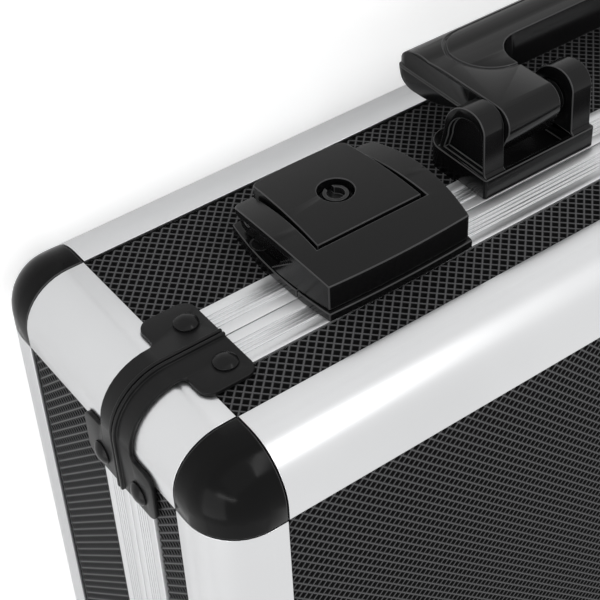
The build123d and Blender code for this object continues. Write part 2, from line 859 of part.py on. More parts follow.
# Handle bracket: a plinth on the front face, hollow between two ears that carry the handle's pin
handle_pivot_line = Plane(origin=(0, handle_pivot_at, handle_pivot_height), z_dir=along_x)
arm_end_in = handle_half - arm_end_width
outer_ear = handle_half + handle_side_play
inner_ear = arm_end_in - handle_side_play - ear
pocket = arm_end_width + 2 * handle_side_play
pocket_middle = inner_ear + ear + pocket / 2
plinth_length = pocket + 2 * (ear + ear_step)
plinth_near = -end_gap / 2
screw_heights = (bracket_screw_low, bracket_screw_high)


def ear_crown(near_rim=0.0, top_rim=0.0, far_rim=0.0):
    """Draw the two arcs over an ear, set in by rims, into the line; gives their near and far lower ends."""
    top = ear_height - top_rim
    near_radius = ear_near_radius - near_rim
    far_radius = ear_far_radius - far_rim
    CenterArc((ear_apex_at, top - near_radius), near_radius, 0, 90)
    CenterArc((ear_apex_at, top - far_radius), far_radius, 90, 90)
    return (ear_apex_at + near_radius, top - near_radius), (ear_apex_at - far_radius, top - far_radius)


with BuildSketch() as plinth_outline:
    with Locations((pocket_middle, plinth_far)):
        Rectangle(plinth_length, plinth_near - plinth_far, align=above)
    fillet(plinth_outline.vertices().group_by(Axis.Y)[0], plinth_far_rounding)
    fillet(plinth_outline.vertices().group_by(Axis.Y)[-1], plinth_near_rounding)
with BuildPart() as handle_bracket:
    with BuildSketch():
        add(plinth_outline.sketch)
    extrude(amount=plinth)
    with BuildSketch(Plane.XY.offset(-panel_face)):
        add(plinth_outline.sketch)
        with Locations((0, -closure_height - panel_play)):
            Rectangle(length, through, align=above, mode=Mode.SUBTRACT)
    extrude(amount=panel_face)
    with Locations((pocket_middle, plinth_far + plinth_wall, plinth_floor)):
        Box(
            pocket,
            plinth_near - plinth_far - 2 * plinth_wall,
            plinth,
            align=(Align.CENTER, Align.MIN, Align.MIN),
            mode=Mode.SUBTRACT,
        )
    for ear_x in (outer_ear, inner_ear):
        with BuildSketch(Plane.YZ.offset(ear_x)):
            with BuildLine():
                near_end, far_end = ear_crown()
                Line(near_end, (ear_foot_near, plinth + ear_flare))
                CenterArc((ear_foot_near + ear_flare, plinth + ear_flare), ear_flare, 180, 90)
                Polyline(
                    (ear_foot_near + ear_flare, plinth),
                    (ear_foot_near + ear_flare, plinth / 2),
                    (ear_foot_far - ear_flare, plinth / 2),
                    (ear_foot_far - ear_flare, plinth),
                )
                CenterArc((ear_foot_far - ear_flare, plinth + ear_flare), ear_flare, 270, 90)
                Line((ear_foot_far, plinth + ear_flare), far_end)
            make_face()
        extrude(amount=ear)
    for face_x, inwards in ((outer_ear + ear, -1), (inner_ear, 1)):
        with BuildSketch(Plane.YZ.offset(face_x)):
            with BuildLine():
                near_end, far_end = ear_crown(ear_near_rim, ear_top_rim, ear_far_rim)
                Polyline(
                    near_end,
                    (ear_foot_near - ear_near_rim, plinth + ear_low_rim),
                    (ear_foot_far + ear_far_rim, plinth + ear_low_rim),
                    far_end,
                )
            make_face()
        extrude(amount=inwards * ear_recess, mode=Mode.SUBTRACT)
    with Locations(handle_pivot_line.offset(pocket_middle).location):
        Cylinder(handle_pin_radius + pin_fit, pocket + 2 * (ear - pin_cover), mode=Mode.SUBTRACT)
    with Locations(*[(x + ear / 2, at, 0) for x in (outer_ear, inner_ear) for at in screw_heights]):
        Cylinder(bracket_screw_radius + bore_fit, 2 * (bracket_screw_bite + end_gap), mode=Mode.SUBTRACT)
with BuildPart() as handle_pin:
    with Locations(handle_pivot_line.offset(pocket_middle).location):
        Cylinder(handle_pin_radius, pocket + 2 * (ear - pin_cover) - end_gap)
with BuildPart() as bracket_screws:
    for at, seat in zip(screw_heights, (panel_face + panel, leg_back)):
        with Locations(*[(x + ear / 2, at, -seat) for x in (outer_ear, inner_ear)]):
            Cylinder(bracket_screw_head, rivet_tail, align=hanging)
            Cylinder(bracket_screw_radius, seat + bracket_screw_bite, align=standing)


def by_pivot(point):
    """Point of the handle's side shape, from a point given about its pivot."""
    return (handle_pivot_at + point[0], handle_pivot_height + point[1])


# Handle: a grip between two arms, cut from its side shape and its plan
boss_up = handle_end_radius * cos(radians(boss_angle))
boss_out = -handle_end_radius * sin(radians(boss_angle))
grip_far = handle_pivot_at - handle_reach
grip_near = grip_far + grip_width
with BuildPart() as handle:
    with BuildSketch(Plane.YZ.offset(-handle_half)):
        with BuildLine():
            Line(by_pivot(handle_heel_low), by_pivot(handle_heel))
            Line(by_pivot(handle_heel_top), by_pivot(handle_shoulder))
            for start, middle, end in (
                (handle_heel, handle_heel_bow, handle_heel_top),
                (handle_shoulder, handle_arm_bow, handle_waist),
                (handle_waist, handle_back_bow, handle_nose),
                (handle_nose, handle_palm_bow, handle_palm),
                (handle_palm, handle_throat_bow, handle_throat),
                ((-boss_up, boss_out), (0, -handle_end_radius), (boss_up, boss_out)),
            ):
                ThreePointArc(by_pivot(start), by_pivot(middle), by_pivot(end))
            Line(by_pivot(handle_throat), by_pivot((-boss_up, boss_out)))
            Line(by_pivot((boss_up, boss_out)), by_pivot(handle_heel_low))
        make_face()
    extrude(amount=2 * handle_half)
    with BuildSketch() as handle_plan:
        with Locations((0, grip_far)):
            Rectangle(2 * handle_half, -grip_far, align=above)
        fillet(handle_plan.vertices().group_by(Axis.Y)[0], handle_rounding)
    extrude(amount=2 * ear_height, mode=Mode.INTERSECT)
    with BuildSketch() as handle_opening:
        with Locations((0, grip_near)):
            Rectangle(2 * (handle_half - arm_width), -grip_near, align=above)
        fillet(handle_opening.vertices().group_by(Axis.Y)[0], handle_inner_rounding)
    extrude(amount=2 * ear_height, mode=Mode.SUBTRACT)
    # Band round the outer sides, let in between two creases
    with BuildSketch(Plane.XY.offset(handle_pivot_height + handle_band_low)):
        add(handle_plan.sketch)
        offset(amount=-handle_band, mode=Mode.SUBTRACT)
        with Locations((0, handle_pivot_at - handle_end_radius)):
            Rectangle(length, handle_reach, align=above, mode=Mode.SUBTRACT)
    extrude(amount=handle_band_high - handle_band_low, mode=Mode.SUBTRACT)
    for side in (-1, 1):
        with BuildSketch(Plane.YZ.offset(side * (handle_half - arm_width))):
            with Locations((handle_pivot_at, handle_pivot_height)):
                Circle(handle_boss_radius)
        extrude(amount=-side * (arm_end_width - arm_width))
    drill([handle_pivot_line], handle_pin_radius + pin_fit, length)
# Seam round the soft grip, of an even depth in the outer face
with BuildPart() as seam_ring:
    with BuildSketch():
        with Locations((0, grip_seam_at)):
            SlotCenterToCenter(2 * grip_seam_half, 2 * grip_seam_radius)
            SlotCenterToCenter(2 * grip_seam_half, 2 * (grip_seam_radius - grip_seam), mode=Mode.SUBTRACT)
    extrude(amount=2 * ear_height)
    add(handle.part.moved(Location((0, 0, -grip_seam_depth))), mode=Mode.SUBTRACT)
with BuildPart() as placed_handle:
    add(handle.part.moved(on_front(0).location))
    add(seam_ring.part.moved(on_front(0).location), mode=Mode.SUBTRACT)
save(placed_handle, "handle")
bracket_pieces = {
    "handle_bracket": handle_bracket,
    "handle_pin": handle_pin,
    "bracket_screws": bracket_screws,
}
for name, piece in bracket_pieces.items():
    with BuildPart() as right_piece:
        add(piece.part.moved(on_front(0).location))
    with BuildPart() as left_piece:
        add(right_piece.part.mirror(Plane.YZ))
    save(right_piece, f"right_{name}")
    save(left_piece, f"left_{name}")

# Hinges: two leaves whose knuckles alternate along one pin
knuckle = 2 * hinge_half / knuckle_count
knuckle_steps = [(i - (knuckle_count - 1) / 2) * knuckle for i in range(knuckle_count)]
for hand, side in (("left", -1), ("right", 1)):
    pin_line = Plane(origin=(side * hinge_x, hinge_y, hinge_z), z_dir=along_x)
    for shell, upright, own, other in (
        ("base", Align.MAX, knuckle_steps[0::2], knuckle_steps[1::2]),
        ("lid", Align.MIN, knuckle_steps[1::2], knuckle_steps[0::2]),
    ):
        with BuildPart() as leaf:
            with Locations((side * hinge_x, rear_y, hinge_z)):
                Box(2 * hinge_half, hinge_leaf, hinge_leaf_height, align=(Align.CENTER, Align.MIN, upright))
            with Locations(*[(side * hinge_x + step, rear_y, hinge_z) for step in other]):
                Box(
                    knuckle + knuckle_play,
                    through,
                    2 * (knuckle_radius + leaf_clear),
                    mode=Mode.SUBTRACT,
                )
            with Locations(*[pin_line.offset(step).location for step in own]):
                Cylinder(knuckle_radius, knuckle - knuckle_play)
            with Locations(pin_line.location):
                Cylinder(hinge_pin_radius + pin_fit, through, mode=Mode.SUBTRACT)
            own_rivets = [plane for plane in hinge_rivets[shell] if plane.origin.X * side > 0]
            drill(own_rivets, rivet_radius + bore_fit, 2 * hinge_leaf)
        save(leaf, f"{hand}_hinge_{shell}_leaf")
    with BuildPart() as hinge_pin:
        with Locations(pin_line.location):
            Cylinder(hinge_pin_radius, 2 * hinge_half + 2 * hinge_pin_head)
        head_step = hinge_half + hinge_pin_head / 2
        with Locations(*[pin_line.offset(step).location for step in (-head_step, head_step)]):
            Cylinder(hinge_pin_radius + hinge_pin_head, hinge_pin_head)
    save(hinge_pin, f"{hand}_hinge_pin")


def foot(radius, stand):
    """Rubber foot on a panel face, standing on z, with a sunk hole for its screw."""
    with BuildPart() as piece:
        with Locations((0, 0, -panel_face)):
            Cone(radius, radius - foot_taper, panel_face + stand, align=standing)
            Cylinder(foot_screw_radius + bore_fit, panel_face + stand, align=standing, mode=Mode.SUBTRACT)
        with Locations((0, 0, stand)):
            Cylinder(
                foot_screw_head + foot_screw_play,
                foot_screw_sink,
                align=hanging,
                mode=Mode.SUBTRACT,
            )
    return piece.part


def foot_screw(stand):
    """Screw of a foot: a pan head in the sunk hole and a shank through the panel."""
    seat = stand - foot_screw_sink
    with BuildPart() as piece:
        with Locations((0, 0, seat)):
            Cylinder(foot_screw_head, foot_screw_head_height, align=standing)
            Cylinder(foot_screw_radius, seat + panel_face + panel - slot_fit, align=hanging)
    return piece.part


base_foot_set = [(foot_radius, foot_stand, plane) for plane in base_foot_spots]
base_rear_foot_set = [(rear_foot_radius, rear_foot_stand, plane) for plane in base_rear_foot_spots]
lid_rear_foot_set = [(rear_foot_radius, rear_foot_stand, plane) for plane in lid_rear_foot_spots]
foot_groups = {
    "base_feet": base_foot_set,
    "base_rear_feet": base_rear_foot_set,
    "lid_rear_feet": lid_rear_foot_set,
}
for node, feet in foot_groups.items():
    with BuildPart() as group:
        for radius, stand, plane in feet:
            add(foot(radius, stand).moved(plane.location))
    save(group, node)
screw_groups = {"base_foot_screws": base_foot_set + base_rear_foot_set, "lid_foot_screws": lid_rear_foot_set}
for node, feet in screw_groups.items():
    with BuildPart() as group:
        for radius, stand, plane in feet:
            add(foot_screw(stand).moved(plane.location))
    save(group, node)

# Foam lining
pad_half = side_x - leg_tip - foam_fit
pad_depth = depth - 2 * (leg_tip + foam_fit)
wall_seat = leg_back + foam_fit
wall_low = base_z + leg_tip + foam_fit
wall_high = base_top - closure_height - foam_fit
with BuildPart() as base_floor_foam:
    with Locations((0, mid_y, base_z + panel_face + panel + foam_fit)):
        Box(2 * pad_half, pad_depth, floor_foam, align=standing)
save(base_floor_foam, "base_floor_foam")
with BuildPart() as base_wall_foam:
    wall_mid = wall_seat + wall_foam / 2
    with Locations(*[(0, y, wall_low) for y in (front_y + wall_mid, rear_y - wall_mid)]):
        Box(2 * (side_x - wall_seat), wall_foam, wall_high - wall_low, align=standing)
    with Locations(*[(side * (side_x - wall_mid), mid_y, wall_low) for side in (-1, 1)]):
        Box(
            wall_foam,
            depth - 2 * (wall_seat + wall_foam + foam_fit),
            wall_high - wall_low,
            align=standing,
        )
save(base_wall_foam, "base_wall_foam")
with BuildPart() as lid_pad:
    with Locations((0, mid_y, lid_top - panel_face - panel - foam_fit - lid_foam)):
        Box(2 * pad_half, pad_depth, lid_foam, align=standing)
save(lid_pad, "lid_foam")
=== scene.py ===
"""Looks of a hard mixer case: aluminium edges, embossed panels, corners, latches, handle, hinges and foam.

Every size is in metres, in the packed frame. -Y is the front, with the latches and the handle, and +Z is
the lid.
"""

import json
import math

import bmesh
import bpy
from mathutils import Matrix, Vector


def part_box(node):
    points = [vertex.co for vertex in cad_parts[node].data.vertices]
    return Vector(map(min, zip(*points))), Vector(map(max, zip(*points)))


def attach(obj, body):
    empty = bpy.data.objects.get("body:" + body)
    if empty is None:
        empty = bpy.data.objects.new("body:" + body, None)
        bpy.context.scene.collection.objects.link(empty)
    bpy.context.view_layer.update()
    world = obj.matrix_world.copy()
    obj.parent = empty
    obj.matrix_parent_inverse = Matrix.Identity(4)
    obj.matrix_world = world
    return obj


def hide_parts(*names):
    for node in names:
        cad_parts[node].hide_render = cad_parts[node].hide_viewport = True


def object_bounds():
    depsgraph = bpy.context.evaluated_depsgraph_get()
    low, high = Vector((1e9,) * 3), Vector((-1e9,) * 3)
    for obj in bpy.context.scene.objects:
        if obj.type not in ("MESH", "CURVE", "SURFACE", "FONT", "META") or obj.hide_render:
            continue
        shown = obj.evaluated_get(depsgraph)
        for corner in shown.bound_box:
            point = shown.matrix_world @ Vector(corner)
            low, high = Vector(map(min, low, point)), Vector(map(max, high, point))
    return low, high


bl_info = {
    "name": "Mixer case",
    "version": (1, 0, 0),
    "blender": (4, 5, 0),
    "location": "3D View > Sidebar > Mixer case",
    "description": "Dresses a hard mixer case in its finishes and sets it in a plain studio",
    "category": "Object",
}

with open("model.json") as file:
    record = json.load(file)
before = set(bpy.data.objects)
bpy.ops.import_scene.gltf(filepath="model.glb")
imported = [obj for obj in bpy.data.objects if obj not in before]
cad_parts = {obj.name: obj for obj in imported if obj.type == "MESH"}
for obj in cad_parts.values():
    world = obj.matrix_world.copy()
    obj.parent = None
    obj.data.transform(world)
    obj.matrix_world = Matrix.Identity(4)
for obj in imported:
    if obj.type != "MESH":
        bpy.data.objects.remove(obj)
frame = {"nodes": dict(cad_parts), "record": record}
cad_low, cad_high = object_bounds()

AXES = (Vector((1, 0, 0)), Vector((0, 1, 0)), Vector((0, 0, 1)))
BODY_OF = {
    node: body
    for body, nodes in frame["record"]["behaviour"]["bodies"].items()
    for node in nodes
}
HANDS = ("left", "right")

# Corners closer than this are one corner
SAME_PLACE = 1e-6

# Mesh attributes that the materials read
RIDGE = "ridge"
RIM = "rim"


# Settings that a user would change


class AluminiumSettings(bpy.types.PropertyGroup):
    """Finish of the aluminium profiles."""

    color: bpy.props.FloatVectorProperty(
        name="Colour", description="Colour of the anodised metal", subtype="COLOR", size=3, min=0.0, max=1.0,
        default=(0.70, 0.705, 0.713),
    )
    roughness: bpy.props.FloatProperty(
        name="Roughness", description="How satin the metal is", min=0.05, max=1.0, default=0.30,
    )
    edge: bpy.props.FloatProperty(
        name="Edge rounding", description="Radius of the broken edges", subtype="DISTANCE", unit="LENGTH",
        min=0.00002, max=0.001, default=0.00012,
    )


class PanelSettings(bpy.types.PropertyGroup):
    """Embossed pattern and colour of the panels."""

    # Painted highlight: this colour is laid on the ridges, and the pits are painted down to 3% of it as shade
    color: bpy.props.FloatVectorProperty(
        name="Colour", description="Colour of the sheet", subtype="COLOR", size=3, min=0.0, max=1.0,
        default=(0.11, 0.11, 0.113),
    )
    pitch: bpy.props.FloatProperty(
        name="Pit size", description="Distance between pits of one row, corner to corner", subtype="DISTANCE",
        unit="LENGTH", min=0.002, max=0.01, default=0.0036,
    )
    relief: bpy.props.FloatProperty(
        name="Pit depth", description="Height of the ridges above the bottoms of the pits",
        subtype="DISTANCE", unit="LENGTH", min=0.0001, max=0.0012, default=0.00055,
    )


class PlasticSettings(bpy.types.PropertyGroup):
    """Finish of the black moulded pieces."""

    color: bpy.props.FloatVectorProperty(
        name="Colour", description="Colour of the moulded plastic", subtype="COLOR", size=3, min=0.0, max=1.0,
        default=(0.0035, 0.0035, 0.0036),
    )
    # Painted highlight: this colour is laid on the rounded edges as a lighter line, in place of the light
    # that they catch
    rim: bpy.props.FloatVectorProperty(
        name="Rim colour", description="Colour of the edges, polished light by use", subtype="COLOR", size=3,
        min=0.0, max=1.0, default=(0.06, 0.06, 0.061),
    )
    roughness: bpy.props.FloatProperty(
        name="Roughness", description="How polished the mouldings are", min=0.02, max=1.0, default=0.2,
    )
    edge: bpy.props.FloatProperty(
        name="Edge rounding", description="Radius of the moulded edges", subtype="DISTANCE", unit="LENGTH",
        min=0.0001, max=0.002, default=0.00035,
    )


class FoamSettings(bpy.types.PropertyGroup):
    """Shape and colour of the foam lining."""

    color: bpy.props.FloatVectorProperty(
        name="Colour", description="Colour of the foam", subtype="COLOR", size=3, min=0.0, max=1.0,
        default=(0.035, 0.035, 0.038),
    )
    crest_pitch: bpy.props.FloatProperty(
        name="Crest spacing", description="Distance between the crests of the lid foam", subtype="DISTANCE",
        unit="LENGTH", min=0.01, max=0.06, default=0.03,
    )
    crest: bpy.props.FloatProperty(
        name="Crest height", description="Height of the crests of the lid foam", subtype="DISTANCE",
        unit="LENGTH", min=0.002, max=0.02, default=0.013,
    )


class StageSettings(bpy.types.PropertyGroup):
    """Floor, light and camera."""

    floor_size: bpy.props.FloatProperty(
        name="Floor size", description="Side of the square floor", subtype="DISTANCE", unit="LENGTH", min=1.0,
        max=20.0, default=8.0,
    )
    sky: bpy.props.FloatProperty(
        name="Even light", description="Strength of the even light from all round", min=0.0, max=2.0,
        default=0.82,
    )
    lens: bpy.props.FloatProperty(
        name="Lens", description="Focal length of the camera in millimetres", min=20.0, max=300.0,
        default=93.3,
    )
    camera_place: bpy.props.FloatVectorProperty(
        name="Camera place", description="Where the camera stands", subtype="TRANSLATION", size=3,
        default=(0.3605, -0.48365, 0.3758),
    )


SETTINGS = {
    "mixer_case_aluminium": AluminiumSettings,
    "mixer_case_panel": PanelSettings,
    "mixer_case_plastic": PlasticSettings,
    "mixer_case_foam": FoamSettings,
    "mixer_case_stage": StageSettings,
}


# Node groups for effects that several materials share


def new_group(name, inputs, outputs):
    """Empty shader node group with named float, vector or colour sockets."""
    group = bpy.data.node_groups.new(name, "ShaderNodeTree")
    for in_out, sockets in (("INPUT", inputs), ("OUTPUT", outputs)):
        for socket_name, kind, value in sockets:
            socket_type = f"NodeSocket{kind}"
            socket = group.interface.new_socket(name=socket_name, in_out=in_out, socket_type=socket_type)
            if value is not None:
                socket.default_value = value
    return group, group.nodes.new("NodeGroupInput"), group.nodes.new("NodeGroupOutput")


def add_node(tree, kind, values=(), **settings):
    """Node of a kind with attributes from settings and plain values on its inputs."""
    node = tree.nodes.new(kind)
    for name, value in settings.items():
        setattr(node, name, value)
    for socket, value in dict(values).items():
        node.inputs[socket].default_value = value
    return node


def math_node(tree, operation, *values):
    """Math node fed by sockets or plain numbers; returns its output socket."""
    node = tree.nodes.new("ShaderNodeMath")
    node.operation = operation
    for index, value in enumerate(values):
        if isinstance(value, bpy.types.NodeSocket):
            tree.links.new(value, node.inputs[index])
        else:
            node.inputs[index].default_value = value
    return node.outputs[0]


def spots(tree, size, detail):
    """Noise in object space, with spots of the size that a socket gives; returns its mask."""
    place = add_node(tree, "ShaderNodeTexCoord")
    sized = add_node(tree, "ShaderNodeVectorMath", operation="SCALE")
    tree.links.new(place.outputs["Object"], sized.inputs[0])
    tree.links.new(math_node(tree, "DIVIDE", 1.0, size), sized.inputs["Scale"])
    noise = add_node(tree, "ShaderNodeTexNoise", {"Scale": 1.0, "Detail": detail})
    tree.links.new(sized.outputs[0], noise.inputs["Vector"])
    return noise.outputs["Fac"]


def between(tree, mask, low, high):
    """Mask stretched so that it is 0 at low and 1 at high; returns its socket."""
    spread = add_node(tree, "ShaderNodeMapRange", {"From Min": low, "From Max": high})
    tree.links.new(mask, spread.inputs["Value"])
    return spread.outputs[0]


def build_grain_group():
    """Fine grain in object space: a mask for small changes of finish and a normal."""
    group, start, end = new_group(
        "Fine grain",
        [("Grain size", "Float", 0.001), ("Stretch", "Vector", (1.0, 1.0, 1.0)), ("Relief", "Float", 0.1)],
        [("Mask", "Float", None), ("Normal", "Vector", None)],
    )
    links = group.links
    place = add_node(group, "ShaderNodeTexCoord")
    stretched = add_node(group, "ShaderNodeVectorMath", operation="MULTIPLY")
    sized = add_node(group, "ShaderNodeVectorMath", operation="SCALE")
    links.new(place.outputs["Object"], stretched.inputs[0])
    links.new(start.outputs["Stretch"], stretched.inputs[1])
    links.new(stretched.outputs[0], sized.inputs[0])
    links.new(math_node(group, "DIVIDE", 1.0, start.outputs["Grain size"]), sized.inputs["Scale"])
    noise = add_node(group, "ShaderNodeTexNoise", {"Scale": 1.0, "Detail": 3.0, "Roughness": 0.6})
    links.new(sized.outputs[0], noise.inputs["Vector"])
    bump = add_node(group, "ShaderNodeBump", {"Distance": 0.0002})
    links.new(start.outputs["Relief"], bump.inputs["Strength"])
    links.new(noise.outputs["Fac"], bump.inputs["Height"])
    links.new(noise.outputs["Fac"], end.inputs["Mask"])
    links.new(bump.outputs["Normal"], end.inputs["Normal"])
    return group


def build_handling_group():
    """Broad smudges and sparse fine dust, as masks in object space."""
    group, start, end = new_group(
        "Handling marks",
        [("Smudge size", "Float", 0.04), ("Dust size", "Float", 0.0012)],
        [("Smudge", "Float", None), ("Dust", "Float", None)],
    )
    for mark, detail, low, high in (("Smudge", 4.0, 0.42, 0.72), ("Dust", 1.0, 0.74, 0.80)):
        noise = spots(group, start.outputs[f"{mark} size"], detail)
        group.links.new(between(group, noise, low, high), end.inputs[mark])
    return group


def build_edge_group():
    """Worn edges: a mask that is 1 where the surface turns sharply."""
    group, start, end = new_group(
        "Edge wear",
        [("Width", "Float", 0.0006), ("Grain size", "Float", 0.002)],
        [("Mask", "Float", None)],
    )
    links = group.links
    bevel = add_node(group, "ShaderNodeBevel", samples=4)
    links.new(start.outputs["Width"], bevel.inputs["Radius"])
    geometry = add_node(group, "ShaderNodeNewGeometry")
    turn = add_node(group, "ShaderNodeVectorMath", operation="DOT_PRODUCT")
    links.new(bevel.outputs["Normal"], turn.inputs[0])
    links.new(geometry.outputs["Normal"], turn.inputs[1])
    sharp = between(group, turn.outputs["Value"], 0.99, 0.85)
    broken = between(group, spots(group, start.outputs["Grain size"], 4.0), 0.45, 0.62)
    links.new(math_node(group, "MULTIPLY", sharp, broken), end.inputs["Mask"])
    return group


GROUP_BUILDERS = {
    "Fine grain": build_grain_group,
    "Handling marks": build_handling_group,
    "Edge wear": build_edge_group,
}


def place_group(tree, name, **values):
    """Group node in a material, with this material's own values on its inputs."""
    node = tree.nodes.new("ShaderNodeGroup")
    node.node_tree = bpy.data.node_groups.get(name) or GROUP_BUILDERS[name]()
    for socket, value in values.items():
        node.inputs[socket.replace("_", " ").capitalize()].default_value = value
    return node


# Materials

SHADER_SOCKETS = {
    "metallic": "Metallic",
    "ior": "IOR",
    "specular": "Specular IOR Level",
    "sheen": "Sheen Weight",
}

# Places of the colour sockets on a Mix node, whose names repeat
MIX_COLOR_SOCKETS = (6, 7)
MIX_COLOR_RESULT = 2

BLACK_COAT = (0.006, 0.006, 0.0062)
BARE_STEEL_RIM = (0.14, 0.136, 0.132)


def new_material(name, color, roughness, **others):
    """Material with a plain Principled BSDF; returns it with its tree and shader.

    others are further plain values of the shader, such as metallic or ior.
    """
    material = bpy.data.materials.new(name)
    material.use_nodes = True
    shader = material.node_tree.nodes["Principled BSDF"]
    shader.inputs["Base Color"].default_value = (*color, 1.0)
    shader.inputs["Roughness"].default_value = roughness
    for socket, value in others.items():
        shader.inputs[SHADER_SOCKETS[socket]].default_value = value
    return material, material.node_tree, shader


def vary(tree, mask, low, high, socket):
    """Feed a socket with a value that goes from low to high with a mask."""
    spread = add_node(tree, "ShaderNodeMapRange", {"To Min": low, "To Max": high})
    tree.links.new(mask, spread.inputs["Value"])
    tree.links.new(spread.outputs[0], socket)


def tint(tree, mask, first, second, socket):
    """Feed a colour socket with a mix of two colours by a mask."""
    mix = tree.nodes.new("ShaderNodeMix")
    mix.data_type = "RGBA"
    for index, color in zip(MIX_COLOR_SOCKETS, (first, second)):
        mix.inputs[index].default_value = (*color, 1.0)
    tree.links.new(mask, mix.inputs["Factor"])
    tree.links.new(mix.outputs[MIX_COLOR_RESULT], socket)


def add_grain(tree, shader, **values):
    """Give a shader the fine grain's normal; returns the grain's mask."""
    grain = place_group(tree, "Fine grain", **values)
    tree.links.new(grain.outputs["Normal"], shader.inputs["Normal"])
    return grain.outputs["Mask"]


def shaded(color, factor):
    """Colour made lighter or darker by a factor."""
    return tuple(min(1.0, channel * factor) for channel in color)


def aluminium_material(name, along, duller=0.0, relief=0.015):
    """Satin anodised aluminium with faint extrusion lines along one axis."""
    settings = bpy.context.scene.mixer_case_aluminium
    roughness = settings.roughness + duller
    material, tree, shader = new_material(name, settings.color, roughness, metallic=1.0)
    stretch = [1.0, 1.0, 1.0]
    stretch[along] = 0.02
    lines = add_grain(tree, shader, grain_size=0.0006, stretch=stretch, relief=relief)
    vary(tree, lines, roughness - 0.03, roughness + 0.03, shader.inputs["Roughness"])
    marks = place_group(tree, "Handling marks", smudge_size=0.09, dust_size=0.002)
    smudged = shaded(settings.color, 0.94)
    tint(tree, marks.outputs["Smudge"], settings.color, smudged, shader.inputs["Base Color"])
    return material


def panel_material():
    """Black embossed sheet, shinier on its ridges than in its pits, with a painted highlight on its ridges
    and painted shade in its pits.
    """
    settings = bpy.context.scene.mixer_case_panel
    material, tree, shader = new_material("embossed_black_sheet", settings.color, 0.42, ior=1.09)
    add_grain(tree, shader, grain_size=0.0004, relief=0.1)
    height = add_node(tree, "ShaderNodeAttribute", attribute_name=RIDGE)
    crest = between(tree, height.outputs["Fac"], 0.66, 1.0)
    vary(tree, crest, 0.6, 0.32, shader.inputs["Roughness"])
    # Painted highlight and shade: the ridges take the sheet colour, and the pits fall to 3% of it
    tint(tree, crest, shaded(settings.color, 0.03), settings.color, shader.inputs["Base Color"])
    return material


def moulded_material(name, factor=1.0, roughness=None, ior=1.18):
    """Black moulded plastic with faint smudges, and a painted highlight along its rounded edges."""
    settings = bpy.context.scene.mixer_case_plastic
    color = shaded(settings.color, factor)
    if roughness is None:
        roughness = settings.roughness
    material, tree, shader = new_material(name, color, roughness, ior=ior)
    smudge = place_group(tree, "Handling marks", smudge_size=0.03, dust_size=0.0007).outputs["Smudge"]
    vary(tree, smudge, roughness, roughness + 0.07, shader.inputs["Roughness"])
    # Painted highlight: the rounded edges take the rim colour, a little more where the smudge mask is high
    rim = add_node(tree, "ShaderNodeAttribute", attribute_name=RIM).outputs["Fac"]
    rim_highlight = math_node(tree, "MULTIPLY_ADD", smudge, 0.3, math_node(tree, "MULTIPLY", rim, 0.7))
    tint(tree, math_node(tree, "MULTIPLY", rim_highlight, rim), color, settings.rim, shader.inputs["Base Color"])
    add_grain(tree, shader, grain_size=0.0006, relief=0.02)
    return material


def coated_material(name, roughness):
    """Black coated steel whose coat is worn thin along the sharpest edges."""
    material, tree, shader = new_material(name, BLACK_COAT, roughness, ior=1.25)
    grain = add_grain(tree, shader, grain_size=0.0005, relief=0.05)
    vary(tree, grain, roughness - 0.07, roughness + 0.1, shader.inputs["Roughness"])
    wear = place_group(tree, "Edge wear", width=0.0003, grain_size=0.003)
    tint(tree, wear.outputs["Mask"], BLACK_COAT, BARE_STEEL_RIM, shader.inputs["Base Color"])
    return material


def steel_material():
    """Zinc plated steel of the screws, pins and cams."""
    color = (0.62, 0.62, 0.60)
    material, tree, shader = new_material("zinc_plated_steel", color, 0.34, metallic=1.0)
    grain = add_grain(tree, shader, grain_size=0.0008, relief=0.08)
    vary(tree, grain, 0.26, 0.46, shader.inputs["Roughness"])
    tint(tree, grain, shaded(color, 0.85), color, shader.inputs["Base Color"])
    return material


def rubber_material():
    """Matt black rubber of the feet."""
    color = (0.016, 0.016, 0.016)
    material, tree, shader = new_material("black_rubber", color, 0.72, specular=0.3)
    add_grain(tree, shader, grain_size=0.0007, relief=0.25)
    marks = place_group(tree, "Handling marks", smudge_size=0.01, dust_size=0.0008)
    tint(tree, marks.outputs["Dust"], color, shaded(color, 5.0), shader.inputs["Base Color"])
    return material


def foam_material():
    """Open-cell foam: matt, with painted shade in the hollows of its small cells and painted light on their
    walls.
    """
    settings = bpy.context.scene.mixer_case_foam
    material, tree, shader = new_material("open_cell_foam", settings.color, 0.95, specular=0.15, sheen=0.25)
    place = add_node(tree, "ShaderNodeTexCoord")
    cells = add_node(tree, "ShaderNodeTexVoronoi", {"Scale": 1100.0}, feature="F1")
    tree.links.new(place.outputs["Object"], cells.inputs["Vector"])
    bump = add_node(tree, "ShaderNodeBump", {"Strength": 0.7, "Distance": 0.0006})
    tree.links.new(cells.outputs["Distance"], bump.inputs["Height"])
    tree.links.new(bump.outputs["Normal"], shader.inputs["Normal"])
    # Painted shade and light: the cells are darker where the bump is lowest and lighter on their walls
    wall = between(tree, cells.outputs["Distance"], 0.15, 0.6)
    dark, light = shaded(settings.color, 0.45), shaded(settings.color, 1.25)
    tint(tree, wall, dark, light, shader.inputs["Base Color"])
    return material


